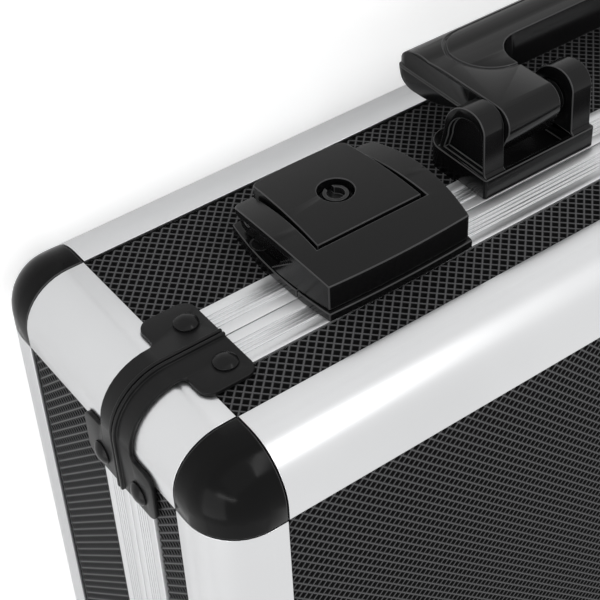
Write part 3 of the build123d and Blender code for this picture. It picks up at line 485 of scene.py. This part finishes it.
MATERIAL_BUILDERS = {
    "aluminium_along_x": lambda: aluminium_material("aluminium_along_x", 0),
    "aluminium_along_y": lambda: aluminium_material("aluminium_along_y", 1),
    "aluminium_along_z": lambda: aluminium_material("aluminium_along_z", 2),
    "ribbed_aluminium_x": lambda: aluminium_material("ribbed_aluminium_x", 0, duller=0.16, relief=0.004),
    "ribbed_aluminium_y": lambda: aluminium_material("ribbed_aluminium_y", 1, duller=0.16, relief=0.004),
    "embossed_black_sheet": panel_material,
    "gloss_corner_plastic": lambda: moulded_material("gloss_corner_plastic", roughness=0.14),
    "moulded_latch": lambda: moulded_material("moulded_latch", ior=1.29),
    "moulded_handle": lambda: moulded_material("moulded_handle", roughness=0.17, ior=1.29),
    "dark_lock_metal": lambda: moulded_material("dark_lock_metal", factor=3.0, roughness=0.24, ior=1.36),
    "coated_bracket_steel": lambda: coated_material("coated_bracket_steel", 0.36),
    "coated_rivet": lambda: coated_material("coated_rivet", 0.2),
    "zinc_plated_steel": steel_material,
    "black_rubber": rubber_material,
    "open_cell_foam": foam_material,
}


def finish(name):
    """Material by name, built the first time it is asked for."""
    return bpy.data.materials.get(name) or MATERIAL_BUILDERS[name]()


# Shared ways to make pieces

# Faces across a rounded edge, the turns in degrees above which an edge is rounded and below which two
# faces are joined, and the material slots that tell a piece's own faces from its rounded edges
EDGE_SEGMENTS = 2
EDGE_TURN = 32.0
FLAT_TURN = 0.6
FORM_SLOT, RIM_SLOT = 0, 1


def add_piece(name, mesh, body, material):
    """Object for a finished mesh, riding on a body."""
    piece = bpy.data.objects.new(name, mesh)
    bpy.context.scene.collection.objects.link(piece)
    mesh.materials.clear()
    mesh.materials.append(finish(material))
    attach(piece, body)
    return piece


def applied(mesh, *modifiers):
    """Mesh with modifiers applied, each given as its kind and its settings."""
    scratch = bpy.data.objects.new("scratch", mesh)
    bpy.context.scene.collection.objects.link(scratch)
    for kind, settings in modifiers:
        modifier = scratch.modifiers.new(kind.lower(), kind)
        for name, value in settings.items():
            setattr(modifier, name, value)
    depsgraph = bpy.context.evaluated_depsgraph_get()
    result = bpy.data.meshes.new_from_object(scratch.evaluated_get(depsgraph))
    bpy.data.objects.remove(scratch)
    return result


def smooth_by_angle(mesh, degrees):
    """Shade a mesh smooth apart from edges sharper than an angle."""
    mesh.polygons.foreach_set("use_smooth", [True] * len(mesh.polygons))
    mesh.set_sharp_from_angle(angle=math.radians(degrees))


def joined_mesh(node):
    """bmesh of a CAD node whose faces share their corners."""
    bm = bmesh.new()
    bm.from_mesh(frame["nodes"][node].data)
    bmesh.ops.remove_doubles(bm, verts=bm.verts, dist=SAME_PLACE)
    return bm


def dress(node, material, edge):
    """Stand-in for a CAD node: the same form with its sharp edges rounded over.

    The faces of the rounded edges carry 1 in the rim attribute, and the others 0.
    """
    bm = joined_mesh(node)
    bmesh.ops.dissolve_limit(bm, angle_limit=math.radians(FLAT_TURN), verts=bm.verts, edges=bm.edges)
    plain = bpy.data.meshes.new(f"{node}_plain")
    bm.to_mesh(plain)
    bm.free()
    for _slot in (FORM_SLOT, RIM_SLOT):
        plain.materials.append(None)
    plain.polygons.foreach_set("material_index", [FORM_SLOT] * len(plain.polygons))
    rounding = {
        "material": RIM_SLOT,
        "width": edge,
        "segments": EDGE_SEGMENTS,
        "limit_method": "ANGLE",
        "angle_limit": math.radians(EDGE_TURN),
        "use_clamp_overlap": False,
    }
    mesh = applied(plain, ("BEVEL", rounding), ("WEIGHTED_NORMAL", {"keep_sharp": True}))
    on_rim = [float(polygon.material_index == RIM_SLOT) for polygon in mesh.polygons]
    mesh.attributes.new(RIM, "FLOAT", "FACE").data.foreach_set("value", on_rim)
    mesh.polygons.foreach_set("material_index", [FORM_SLOT] * len(mesh.polygons))
    piece = add_piece(f"{node}_dressed", mesh, BODY_OF[node], material)
    mesh.polygons.foreach_set("use_smooth", [True] * len(mesh.polygons))
    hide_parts(node)


def keep(node, material):
    """Give a CAD node that stays its material."""
    mesh = frame["nodes"][node].data
    mesh.materials.clear()
    mesh.materials.append(finish(material))


def nodes_named(*endings):
    """Names of the CAD nodes that end in any of these words."""
    return [node for node in sorted(frame["nodes"]) if node.endswith(endings)]


# Profiles


class CASE_OT_profiles(bpy.types.Operator):
    """Dress the aluminium edges, corner posts and ribbed closure profiles"""

    bl_idname = "mixer_case.profiles"
    bl_label = "Aluminium profiles"

    def execute(self, context):
        edge = context.scene.mixer_case_aluminium.edge
        for ending, material in (
            ("long_edges", "aluminium_along_x"),
            ("short_edges", "aluminium_along_y"),
            ("corner_posts", "aluminium_along_z"),
            ("long_closures", "ribbed_aluminium_x"),
            ("short_closures", "ribbed_aluminium_y"),
        ):
            for node in nodes_named(ending):
                dress(node, material, edge)
        return {"FINISHED"}


# Panels

# Gap between a panel and the bottoms of its sheet's pits, height of a closure profile, and the turn in
# degrees above which the sheet's folds stay sharp
SHEET_LIFT = 0.00005
CLOSURE_HEIGHT = 0.014
SHEET_TURN = 20.0


def pit_sheet(name, low, high, normal_axis, outward, shell):
    """Sheet of square pits whose ridges cross at 45 degrees to its sides.

    low and high are opposite corners of the sheet in the plane of its ridges, and outward is +1 or -1
    along the normal axis.
    """
    settings = bpy.context.scene.mixer_case_panel
    first, second = [axis for axis in range(3) if axis != normal_axis]
    spans = [high[axis] - low[axis] for axis in (first, second)]
    counts = [2 * max(1, round(span / settings.pitch)) for span in spans]
    steps = [span / count for span, count in zip(spans, counts)]
    bm = bmesh.new()
    ridge = bm.verts.layers.float.new(RIDGE)
    rows = []
    for j in range(counts[1] + 1):
        row = []
        for i in range(counts[0] + 1):
            point = Vector(low)
            point[first] += i * steps[0]
            point[second] += j * steps[1]
            if (i + j) % 2:
                point[normal_axis] -= outward * settings.relief
            row.append(bm.verts.new(point))
            row[-1][ridge] = 1 - (i + j) % 2
        rows.append(row)
    flip = (AXES[first].cross(AXES[second])[normal_axis] > 0) != (outward > 0)
    for j in range(counts[1]):
        for i in range(counts[0]):
            a, b, c, d = rows[j][i], rows[j][i + 1], rows[j + 1][i + 1], rows[j + 1][i]
            halves = ((a, b, c), (a, c, d)) if (i + j) % 2 == 0 else ((a, b, d), (b, c, d))
            for corners in halves:
                bm.faces.new(corners[::-1] if flip else corners)
    border = [edge for edge in bm.edges if edge.is_boundary]
    skirt = bmesh.ops.extrude_edge_only(bm, edges=border)["geom"]
    for vertex in (item for item in skirt if isinstance(item, bmesh.types.BMVert)):
        vertex.co[normal_axis] = low[normal_axis] - outward * 2 * settings.relief
        vertex[ridge] = 0
    mesh = bpy.data.meshes.new(name)
    bm.to_mesh(mesh)
    bm.free()
    smooth_by_angle(mesh, SHEET_TURN)
    add_piece(name, mesh, shell, "embossed_black_sheet")


def lay_sheet(name, node, near, far, axis, outward, shell):
    """Lay a sheet on the outer side of a panel, between two opposite corners of its opening."""
    relief = bpy.context.scene.mixer_case_panel.relief
    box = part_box(node)
    face = box[0][axis] if outward < 0 else box[1][axis]
    low, high = near.copy(), far.copy()
    low[axis] = high[axis] = face + outward * (relief + SHEET_LIFT)
    pit_sheet(name, low, high, axis, outward, shell)


class CASE_OT_panels(bpy.types.Operator):
    """Lay the embossed sheets on the panels, between the aluminium profiles"""

    bl_idname = "mixer_case.panels"
    bl_label = "Embossed panels"

    def execute(self, context):
        for node in nodes_named("_panel", "_panels"):
            keep(node, "embossed_black_sheet")
        post_low, post_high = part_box("base_corner_posts")
        edge_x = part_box("base_long_edges")[0].x
        edge_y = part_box("base_short_edges")[0].y
        near = Vector((edge_x, edge_y, 0.0))
        far = Vector((-edge_x, post_low.y + post_high.y - edge_y, 0.0))
        for shell, outward in (("base", -1), ("lid", 1)):
            posts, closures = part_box(f"{shell}_corner_posts"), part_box(f"{shell}_short_closures")
            if shell == "base":
                near.z, far.z = posts[0].z, closures[1].z - CLOSURE_HEIGHT
            else:
                near.z, far.z = closures[0].z + CLOSURE_HEIGHT, posts[1].z
            lay_sheet(f"{shell}_flat_sheet", f"{shell}_flat_panel", near, far, 2, outward, shell)
            for side, sign in (("front", -1), ("rear", 1)):
                lay_sheet(f"{shell}_{side}_sheet", f"{shell}_{side}_panel", near, far, 1, sign, shell)
            for side, sign in (("left", -1), ("right", 1)):
                lay_sheet(f"{shell}_{side}_end_sheet", f"{shell}_end_panels", near, far, 0, sign, shell)
        return {"FINISHED"}


# Corners, brackets and fasteners


class CASE_OT_corners(bpy.types.Operator):
    """Dress the ball corners, the corner brackets and the rivets"""

    bl_idname = "mixer_case.corners"
    bl_label = "Corners and rivets"

    def execute(self, context):
        edge = context.scene.mixer_case_plastic.edge
        for node in nodes_named("ball_corners"):
            dress(node, "gloss_corner_plastic", edge)
        for node in nodes_named("corner_brackets"):
            dress(node, "coated_bracket_steel", edge)
        for node in nodes_named("_rivets"):
            dress(node, "coated_rivet", edge / 2)
        for node in nodes_named("_screws", "_pin", "_cam"):
            keep(node, "zinc_plated_steel")
        return {"FINISHED"}


# Latches


class CASE_OT_latches(bpy.types.Operator):
    """Dress the latch bodies, levers, catches and key locks"""

    bl_idname = "mixer_case.latches"
    bl_label = "Latches"

    def execute(self, context):
        edge = context.scene.mixer_case_plastic.edge
        for hand in HANDS:
            for piece in ("latch_body", "latch_lever", "latch_catch"):
                dress(f"{hand}_{piece}", "moulded_latch", edge)
            dress(f"{hand}_lock_barrel", "dark_lock_metal", edge / 2)
        return {"FINISHED"}


# Handle


class CASE_OT_handle(bpy.types.Operator):
    """Dress the carrying handle and its brackets"""

    bl_idname = "mixer_case.handle"
    bl_label = "Handle"

    def execute(self, context):
        edge = context.scene.mixer_case_plastic.edge
        dress("handle", "moulded_handle", edge)
        for hand in HANDS:
            dress(f"{hand}_handle_bracket", "moulded_handle", edge)
        return {"FINISHED"}


# Hinges and feet


class CASE_OT_hinges(bpy.types.Operator):
    """Dress the hinge leaves and the rubber feet"""

    bl_idname = "mixer_case.hinges"
    bl_label = "Hinges and feet"

    def execute(self, context):
        edge = context.scene.mixer_case_plastic.edge
        for node in nodes_named("_leaf"):
            dress(node, "coated_bracket_steel", edge / 2)
        for node in nodes_named("_feet"):
            dress(node, "black_rubber", edge)
        return {"FINISHED"}


# Foam lining

# Faces across one crest, side of a flat pad's faces, radius of the pads' edges and faces across them,
# and the turns in degrees above which an edge is rounded or stays sharp
FACES_PER_CREST = 6
FLAT_FOAM_STEP = 0.008
FOAM_EDGE = 0.002
FOAM_EDGE_SEGMENTS = 3
FOAM_EDGE_TURN = 60.0
FOAM_SHARP_TURN = 50.0


def foam_pad(name, low, high, node, crested=False):
    """Foam pad in a box, with rounded edges and, where crested, rows of crests on its underside."""
    settings = bpy.context.scene.mixer_case_foam
    size = [high[axis] - low[axis] for axis in range(3)]
    step = settings.crest_pitch / FACES_PER_CREST if crested else FLAT_FOAM_STEP
    counts = [max(2, round(size[axis] / step)) for axis in (0, 1)]
    bm = bmesh.new()
    bmesh.ops.create_grid(bm, x_segments=counts[0], y_segments=counts[1], size=0.5)
    for vertex in bm.verts:
        x = low[0] + (vertex.co.x + 0.5) * size[0]
        y = low[1] + (vertex.co.y + 0.5) * size[1]
        z = low[2]
        if crested:
            turn = 2 * math.pi / settings.crest_pitch
            wave = 0.5 + 0.25 * (math.cos(turn * x) + math.cos(turn * y))
            rim = min(x - low[0], high[0] - x, y - low[1], high[1] - y) / settings.crest_pitch
            z += settings.crest * wave * min(1.0, max(0.0, 2 * rim))
        vertex.co = (x, y, z)
    border = [edge for edge in bm.edges if edge.is_boundary]
    bmesh.ops.reverse_faces(bm, faces=bm.faces[:])
    sides = bmesh.ops.extrude_edge_only(bm, edges=border)["geom"]
    for vertex in (item for item in sides if isinstance(item, bmesh.types.BMVert)):
        vertex.co.z = high[2]
    rim_edges = [edge for edge in bm.edges if edge.is_boundary]
    bmesh.ops.contextual_create(bm, geom=rim_edges)
    bmesh.ops.recalc_face_normals(bm, faces=bm.faces[:])
    plain = bpy.data.meshes.new(name)
    bm.to_mesh(plain)
    bm.free()
    rounding = {
        "width": FOAM_EDGE,
        "segments": FOAM_EDGE_SEGMENTS,
        "limit_method": "ANGLE",
        "angle_limit": math.radians(FOAM_EDGE_TURN),
        "use_clamp_overlap": True,
    }
    mesh = applied(plain, ("BEVEL", rounding))
    smooth_by_angle(mesh, FOAM_SHARP_TURN)
    piece = add_piece(name, mesh, BODY_OF[node], "open_cell_foam")
    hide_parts(node)


def solid_boxes(node):
    """Boxes of the separate solids of a CAD node, in order of their places."""
    bm = joined_mesh(node)
    boxes, seen = [], set()
    for start in bm.verts:
        if start.index in seen:
            continue
        group, queue = [], [start]
        seen.add(start.index)
        while queue:
            vertex = queue.pop()
            group.append(vertex.co.copy())
            for edge in vertex.link_edges:
                other = edge.other_vert(vertex)
                if other.index not in seen:
                    seen.add(other.index)
                    queue.append(other)
        low = Vector([min(point[axis] for point in group) for axis in range(3)])
        high = Vector([max(point[axis] for point in group) for axis in range(3)])
        boxes.append((low, high))
    bm.free()
    return sorted(boxes, key=lambda corners: tuple(corners[0]))


class CASE_OT_foam(bpy.types.Operator):
    """Lay the foam lining in the base and the lid"""

    bl_idname = "mixer_case.foam"
    bl_label = "Foam lining"

    def execute(self, context):
        foam_pad("floor_pad", *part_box("base_floor_foam"), "base_floor_foam")
        for number, corners in enumerate(solid_boxes("base_wall_foam"), 1):
            foam_pad(f"wall_pad_{number}", *corners, "base_wall_foam")
        foam_pad("lid_pad", *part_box("lid_foam"), "lid_foam", crested=True)
        return {"FINISHED"}


# Stage

# Name, place, width and height, and watts of each lamp
LAMPS = (
    ("key_light", (0.6, -1.7, 1.3), (2.4, 1.6), 4.0),
    ("end_light", (1.8, 0.1, 0.6), (1.6, 1.2), 10.0),
    ("front_strip", (-0.3, -1.3, 0.9), (0.1, 0.9), 2.5),
    ("end_strip", (1.3, -0.5, 1.0), (0.08, 0.9), 2.2),
)

# Camera film in millimetres, and the directions of the picture's right and upper sides
SENSOR_WIDTH = 36.0
CAMERA_RIGHT = Vector((-0.8074, 0.0401, 0.5886))
CAMERA_UP = Vector((-0.4173, -0.7440, -0.5218))

WHITE = (1.0, 1.0, 1.0)
FLOOR_COLOR = (0.82, 0.82, 0.82)

# Strength that brings the lit floor up to white, and the share of it that metal and gloss reflect
FLOOR_GLOW = 0.45
MIRRORED_GLOW = 0.3


def soft_light(name, place, target, size, strength):
    """Area lamp, width by height, that looks at a point."""
    lamp = bpy.data.lights.new(name, "AREA")
    lamp.shape = "RECTANGLE"
    lamp.size, lamp.size_y = size
    lamp.energy = strength
    light = bpy.data.objects.new(name, lamp)
    bpy.context.scene.collection.objects.link(light)
    aim = Vector(target) - Vector(place)
    light.matrix_world = Matrix.Translation(place) @ aim.to_track_quat("-Z", "Y").to_matrix().to_4x4()


def white_to_the_eye(tree, mirrored=1.0):
    """Socket that is 1 for camera and transmission rays, and mirrored for glossy rays."""
    path = add_node(tree, "ShaderNodeLightPath")
    seen = math_node(tree, "MAXIMUM", path.outputs["Is Camera Ray"], path.outputs["Is Transmission Ray"])
    reflected = math_node(tree, "MULTIPLY", path.outputs["Is Glossy Ray"], mirrored)
    return math_node(tree, "MAXIMUM", seen, reflected)


class CASE_OT_stage(bpy.types.Operator):
    """Set the floor, the soft light and the camera"""

    bl_idname = "mixer_case.stage"
    bl_label = "Stage"

    def execute(self, context):
        scene = context.scene
        settings = scene.mixer_case_stage
        half = settings.floor_size / 2
        corners = [(-half, -half, 0), (half, -half, 0), (half, half, 0), (-half, half, 0)]
        floor_mesh = bpy.data.meshes.new("floor")
        floor_mesh.from_pydata(corners, [], [range(len(corners))])
        floor = bpy.data.objects.new("floor", floor_mesh)
        scene.collection.objects.link(floor)
        floor_mesh.materials.append(self.floor_material())
        self.light_world(scene, settings)
        middle = (cad_low + cad_high) / 2
        for name, place, size, strength in LAMPS:
            soft_light(name, place, middle, size, strength)
        self.add_camera(scene, settings)
        scene.view_settings.view_transform = "Standard"
        return {"FINISHED"}

    def floor_material(self):
        """White floor that keeps a soft shadow."""
        material, tree, shader = new_material("studio_floor", FLOOR_COLOR, 0.9, specular=0.0)
        glow = add_node(tree, "ShaderNodeEmission", {"Color": (*WHITE, 1.0)})
        strength = math_node(tree, "MULTIPLY", white_to_the_eye(tree, MIRRORED_GLOW), FLOOR_GLOW)
        tree.links.new(strength, glow.inputs["Strength"])
        total = add_node(tree, "ShaderNodeAddShader")
        tree.links.new(shader.outputs[0], total.inputs[0])
        tree.links.new(glow.outputs[0], total.inputs[1])
        tree.links.new(total.outputs[0], tree.nodes["Material Output"].inputs["Surface"])
        return material

    def light_world(self, scene, settings):
        """Even light, seen as plain white by the camera and in reflections."""
        world = bpy.data.worlds.new("studio")
        world.use_nodes = True
        scene.world = world
        tree = world.node_tree
        background = tree.nodes["Background"]
        background.inputs["Color"].default_value = (*WHITE, 1.0)
        vary(tree, white_to_the_eye(tree), settings.sky, 1.0, background.inputs["Strength"])

    def add_camera(self, scene, settings):
        """Camera at the photograph's angle: over the front right corner, rolled so that the front is up."""
        data = bpy.data.cameras.new("camera")
        data.lens = settings.lens
        data.sensor_width = SENSOR_WIDTH
        camera = bpy.data.objects.new("camera", data)
        scene.collection.objects.link(camera)
        back = CAMERA_RIGHT.cross(CAMERA_UP)
        turn = Matrix((CAMERA_RIGHT, CAMERA_UP, back)).transposed().to_4x4()
        camera.matrix_world = Matrix.Translation(settings.camera_place) @ turn
        scene.camera = camera


class CASE_PT_sidebar(bpy.types.Panel):
    """Lists the case's operators and settings"""

    bl_idname = "CASE_PT_sidebar"
    bl_label = "Mixer case"
    bl_space_type = "VIEW_3D"
    bl_region_type = "UI"
    bl_category = "Mixer case"

    def draw(self, context):
        for operator in OPERATORS:
            self.layout.operator(operator.bl_idname)
        for name, group in SETTINGS.items():
            settings = getattr(context.scene, name)
            box = self.layout.box()
            box.label(text=group.__doc__)
            for prop in group.__annotations__:
                box.prop(settings, prop)


OPERATORS = (
    CASE_OT_profiles,
    CASE_OT_panels,
    CASE_OT_corners,
    CASE_OT_latches,
    CASE_OT_handle,
    CASE_OT_hinges,
    CASE_OT_foam,
    CASE_OT_stage,
)


def register():
    """Register the settings, the operators and the sidebar panel."""
    for name, group in SETTINGS.items():
        bpy.utils.register_class(group)
        setattr(bpy.types.Scene, name, bpy.props.PointerProperty(type=group))
    for operator in (*OPERATORS, CASE_PT_sidebar):
        bpy.utils.register_class(operator)


def unregister():
    """Take away what register added."""
    for operator in reversed((*OPERATORS, CASE_PT_sidebar)):
        bpy.utils.unregister_class(operator)
    for name, group in reversed(SETTINGS.items()):
        delattr(bpy.types.Scene, name)
        bpy.utils.unregister_class(group)


def main():
    """Dress the case and set the stage."""
    register()
    for operator in OPERATORS:
        group, name = operator.bl_idname.split(".")
        getattr(getattr(bpy.ops, group), name)()


if __name__ == "__main__":
    main()
